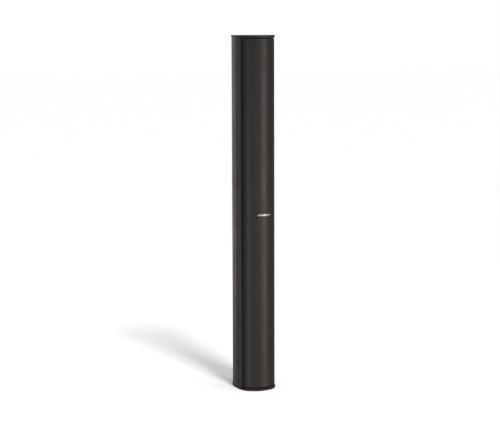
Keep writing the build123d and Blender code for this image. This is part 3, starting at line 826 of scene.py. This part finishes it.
    def make(self, finishes: Finishes) -> None:
        """Build the sheet in two halves with its folded edges, and dress them."""
        parts = [self.build("grille_sheet_lower", 0.0, 0.5), self.build("grille_sheet_upper", 0.5, 1.0),
                 self.fold("grille_fold_left", -1), self.fold("grille_fold_right", 1)]
        for piece in parts:
            folded = "fold" in piece.name
            piece.data.materials.append(finishes.fold if folded else finishes.grille)
            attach(piece, COLUMN)
            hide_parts("grille")
            log.info("%s: %d faces", piece.name, len(piece.data.polygons))


@dataclass
class BadgeBars:
    """Row of small raised bars on the badge, a plain mark with no lettering."""

    sheet: GrilleSheet
    count: int = 7
    width: float = 0.0027
    height: float = 0.0056
    gap: float = 0.0031
    rise: float = 0.00045
    sink: float = 0.0003
    round_off: float = 0.0010
    edge_round: float = 0.00020
    shelf: float = 0.00060
    corner_steps: int = 6

    def outline(self, inset: float) -> np.ndarray:
        """Rounded rectangle round a bar's centre: x = w/2 - r + r cos a and so on, corner by corner.

        Args:
            inset: distance in from the bar's full outline.

        Returns:
            n by 2 array of places, anticlockwise.
        """
        radius = self.round_off - inset
        corner = np.repeat(np.arange(4), self.corner_steps)
        angle = corner * np.pi / 2 + np.tile(np.linspace(0.0, np.pi / 2, self.corner_steps), 4)
        sign_x = np.where((corner == 0) | (corner == 3), 1.0, -1.0)
        sign_z = np.where(corner < 2, 1.0, -1.0)
        x = sign_x * (self.width / 2 - self.round_off) + radius * np.cos(angle)
        z = sign_z * (self.height / 2 - self.round_off) + radius * np.sin(angle)
        return np.stack([x, z], axis=-1)

    def make(self, finishes: Finishes) -> None:
        """Build the bars as one piece on the badge's face.

        The face is the ellipse x = a sin t, y = m - b cos t that stands as far outside the
        sheet's ellipse at its side as it does at its front.
        """
        low, high = (Vector(corner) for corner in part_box("badge"))
        middle_y = self.sheet.middle_y
        nose = middle_y - low.y
        side = self.sheet.side + nose - self.sheet.front
        middle_z = (low.z + high.z) / 2
        chamfer = 0.3 * self.edge_round
        profile = ((0.0, -self.sink), (0.0, self.rise - self.edge_round),
                   (chamfer, self.rise - chamfer), (self.edge_round, self.rise),
                   (self.shelf, self.rise))
        points, faces = [], []
        for index in range(self.count):
            centre = (index - (self.count - 1) / 2) * (self.width + self.gap)
            rings = []
            for inset, lift in profile:
                flat = self.outline(inset)
                t = np.arcsin((flat[:, 0] + centre) / side)
                rings.append(np.stack([(side + lift) * np.sin(t),
                                       middle_y - (nose + lift) * np.cos(t),
                                       middle_z + flat[:, 1]], axis=-1))
            shell = np.concatenate(rings)
            base = index * (len(shell) + 2)
            number = len(rings[0])
            here = np.arange(number)
            there = np.roll(here, -1)
            for ring in range(len(profile) - 1):
                step = base + ring * number
                faces.append(np.stack([here + step, there + step, there + step + number,
                                       here + step + number], axis=-1))
            top, bottom = base + len(shell), base + len(shell) + 1
            last = base + (len(profile) - 1) * number
            pairs = np.arange(0, number, 2)
            faces.append(np.stack([last + pairs, last + pairs + 1, last + (pairs + 2) % number,
                                   np.full(len(pairs), top)], axis=-1))
            faces.append(np.stack([base + (pairs + 2) % number, base + pairs + 1, base + pairs,
                                   np.full(len(pairs), bottom)], axis=-1))
            points.extend([shell, rings[-1].mean(axis=0)[None], rings[0].mean(axis=0)[None]])
        made = mesh_object("badge_bars", np.concatenate(points), np.concatenate(faces))
        made.data.materials.append(finishes.badge_bars)
        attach(made, COLUMN)


@dataclass
class Carried:
    """Nodes whose shape stays as designed, each with its finish."""

    drivers: int = 12

    def plan(self, finishes: Finishes) -> dict[str, bpy.types.Material]:
        """Finish of each node.

        Args:
            finishes: the object's materials.

        Returns:
            Node name to material.
        """
        table = {
            "enclosure_shell": finishes.shell,
            "top_end_cap": finishes.cap,
            "bottom_end_cap": finishes.shaded_foot,
            "cap_gaskets": finishes.gasket,
            "cap_screws": finishes.oxide,
            "front_baffle": finishes.baffle,
            "baffle_gaskets": finishes.gasket,
            "baffle_screws": finishes.zinc,
            "grille": finishes.grille,
            "grille_scrim": finishes.scrim,
            "grille_clips": finishes.zinc,
            "badge": finishes.badge,
            "driver_gaskets": finishes.gasket,
            "driver_screws": finishes.zinc,
            "cone_surrounds": finishes.surround,
            "spiders": finishes.spider,
            "input_panel": finishes.panel,
            "input_panel_gasket": finishes.gasket,
            "panel_screws": finishes.oxide,
            "input_socket": finishes.socket,
            "through_socket": finishes.socket,
            "bracket_inserts": finishes.brass,
            "damping_pads": finishes.foam,
            "wiring_loom": finishes.cable,
        }
        for number in range(1, self.drivers + 1):
            table[f"driver_{number:02d}_basket"] = finishes.basket
            table[f"driver_{number:02d}_motor"] = finishes.magnet
            table[f"driver_{number:02d}_cone"] = finishes.cone
        return table

    def make(self, finishes: Finishes) -> None:
        """Dress every node."""
        for name, material in self.plan(finishes).items():
            dress(name, material)
        log.info("dressed %d carried nodes", len(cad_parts))


# ---------------------------------------------------------------- stage


@dataclass(frozen=True)
class SoftBox:
    """An upright soft box that faces the column.

    Azimuth is the direction it stands in, in degrees; width, height and middle_z are in metres,
    and power is in watts.
    """

    name: str
    azimuth: float
    width: float
    height: float
    power: float
    middle_z: float

    def make(self, distance: float, colour: Sequence[float]) -> None:
        """Hang the box.

        Args:
            distance: from the column's axis, in metres.
            colour: of its light.
        """
        data = bpy.data.lights.new(self.name, "AREA")
        data.shape = "RECTANGLE"
        data.size, data.size_y = self.width, self.height
        data.energy = self.power
        data.color = colour
        made = bpy.data.objects.new(self.name, data)
        made.visible_camera = False
        turn = math.radians(self.azimuth)
        toward = Vector((math.sin(turn), -math.cos(turn), 0.0))
        place = toward * distance + Vector((0.0, 0.0, self.middle_z))
        facing = toward.to_track_quat("Z", "Y").to_matrix().to_4x4()
        made.matrix_world = Matrix.Translation(place) @ facing
        bpy.context.scene.collection.objects.link(made)


@dataclass
class Studio:
    """Pale floor and surround, soft lights and the camera."""

    azimuth: float = -30.0
    pitch: float = 6.666
    roll: float = 0.183
    lens: float = 109.68
    eye_height: float = 0.983
    distance: float = 4.153
    offset: float = 0.0406
    low_sky: float = 0.28
    high_sky: float = 0.4
    floor_fill: float = 0.33
    key_strength: float = 2.5
    key_azimuth: float = -6.5
    key_elevation: float = 46.0
    key_spread: float = 12.0
    overhead_elevation: float = 89.0
    overhead_spread: float = 120.0
    sensor: float = 36.0
    floor_reach: float = 30.0
    sky_rise: tuple[float, float] = (0.35, 0.9)
    box_distance: float = 2.5
    box_colour: tuple[float, float, float] = (1.0, 0.95, 0.91)
    boxes: tuple[SoftBox, ...] = (
        SoftBox("tip_box", 30.0, 0.35, 2.0, 30.0, 0.35),
        SoftBox("strip", -59.0, 0.10, 1.8, 15.0, -0.2),
        SoftBox("front_box", -12.0, 2.0, 2.0, 9.0, 0.2),
        SoftBox("rear_box", -178.0, 1.6, 2.2, 7.0, 0.8),
    )

    def camera(self) -> None:
        """Stand the camera where the column's front tip is offset to the right of its line."""
        turn = math.radians(self.azimuth)
        right = Vector((math.cos(turn), math.sin(turn), 0.0))
        forward = Vector((-math.sin(turn), math.cos(turn), 0.0))
        tip = Vector((0.0, node_extent("bottom_end_cap", Axis3.Y)[0], 0.0))
        eye = tip - right * self.offset - forward * self.distance
        eye.z = self.eye_height
        tilt = math.radians(self.pitch)
        look = forward * math.cos(tilt) - Vector((0.0, 0.0, math.sin(tilt)))
        up = right.cross(look)
        lean = Matrix.Rotation(math.radians(self.roll), 3, look)
        right, up = lean @ right, lean @ up
        data = bpy.data.cameras.new("camera")
        data.lens = self.lens
        data.sensor_width = self.sensor
        data.clip_end = 100.0
        made = bpy.data.objects.new("camera", data)
        basis = Matrix((right, up, -look)).transposed().to_4x4()
        made.matrix_world = Matrix.Translation(eye) @ basis
        bpy.context.scene.collection.objects.link(made)
        bpy.context.scene.camera = made

    def floor(self) -> bpy.types.Collection:
        """Lay a wide pale floor.

        Returns:
            A collection that holds only the floor, for lights meant for it alone.
        """
        square = np.array([[-1, -1, 0], [1, -1, 0], [1, 1, 0], [-1, 1, 0]])
        made = mesh_object("floor", self.floor_reach * square, np.array([[0, 1, 2, 3]]))
        recipe = Recipe("floor_paint")
        recipe.join(recipe.mixed(recipe.noise(0.4), (0.80, 0.80, 0.80), (0.82, 0.82, 0.82)),
                    recipe.shader.inputs["Base Color"])
        recipe.set(Roughness=0.9, Specular_IOR_Level=0.1)
        made.data.materials.append(recipe.material)
        made.visible_diffuse = False
        made.visible_glossy = False
        made.visible_shadow = False
        alone = bpy.data.collections.new("floor_only")
        alone.objects.link(made)
        return alone

    def world(self) -> None:
        """Surround that lights softly and shows white behind the object."""
        world = bpy.data.worlds.new("surround")
        bpy.context.scene.world = world
        world.use_nodes = True
        tree = world.node_tree
        tree.nodes.clear()
        places = tree.nodes.new("ShaderNodeTexCoord")
        split = tree.nodes.new("ShaderNodeSeparateXYZ")
        rise = tree.nodes.new("ShaderNodeMapRange")
        rise.interpolation_type = "SMOOTHSTEP"
        rise.inputs["From Min"].default_value, rise.inputs["From Max"].default_value = self.sky_rise
        rise.inputs["To Min"].default_value = self.low_sky
        rise.inputs["To Max"].default_value = self.high_sky
        soft = tree.nodes.new("ShaderNodeBackground")
        soft.inputs["Color"].default_value = (1.0, 1.0, 1.0, 1.0)
        tree.links.new(places.outputs["Generated"], split.inputs[0])
        tree.links.new(split.outputs["Z"], rise.inputs["Value"])
        tree.links.new(rise.outputs["Result"], soft.inputs["Strength"])
        white = tree.nodes.new("ShaderNodeBackground")
        white.inputs["Strength"].default_value = 1.0
        white.inputs["Color"].default_value = (1.0, 1.0, 1.0, 1.0)
        path = tree.nodes.new("ShaderNodeLightPath")
        mix = tree.nodes.new("ShaderNodeMixShader")
        out = tree.nodes.new("ShaderNodeOutputWorld")
        tree.links.new(path.outputs["Is Camera Ray"], mix.inputs[0])
        tree.links.new(soft.outputs[0], mix.inputs[1])
        tree.links.new(white.outputs[0], mix.inputs[2])
        tree.links.new(mix.outputs[0], out.inputs["Surface"])

    def far_light(self, name: str, strength: float, azimuth: float, elevation: float,
                  spread: float, lit: bpy.types.Collection) -> None:
        """Add a distant light that falls on one collection, with everything in its shadow.

        Args:
            name: light's name.
            strength: in watts per square metre.
            azimuth: direction it comes from, in degrees.
            elevation: height above the horizon, in degrees.
            spread: how wide it looks, in degrees.
            lit: what it lights.
        """
        data = bpy.data.lights.new(name, "SUN")
        data.energy = strength
        data.angle = math.radians(spread)
        made = bpy.data.objects.new(name, data)
        turn, rise = math.radians(azimuth), math.radians(elevation)
        toward = Vector((math.sin(turn) * math.cos(rise), -math.cos(turn) * math.cos(rise),
                         math.sin(rise)))
        made.rotation_euler = toward.to_track_quat("Z", "Y").to_euler()
        made.light_linking.receiver_collection = lit
        bpy.context.scene.collection.objects.link(made)

    def make(self) -> None:
        """Set the stage."""
        self.camera()
        ground = self.floor()
        self.world()
        self.far_light("key", self.key_strength, self.key_azimuth, self.key_elevation,
                       self.key_spread, ground)
        self.far_light("overhead", self.floor_fill * math.pi, 0.0, self.overhead_elevation,
                       self.overhead_spread, ground)
        for box in self.boxes:
            box.make(self.box_distance, self.box_colour)
        settings = bpy.context.scene.view_settings
        settings.view_transform = "Standard"
        settings.look = "None"
        log.info("stage set")


def corners(box: Sequence[Vector]) -> list[list[float]]:
    """A box as plain lists."""
    return [list(corner) for corner in box]


def main() -> None:
    """Build the column's looks piece by piece."""
    logging.basicConfig(level=logging.INFO, format="%(message)s")
    finishes = Finishes()
    Studio().make()
    Carried().make(finishes)
    sheet = GrilleSheet()
    sheet.make(finishes)
    BadgeBars(sheet).make(finishes)


if __name__ == "__main__":
    main()
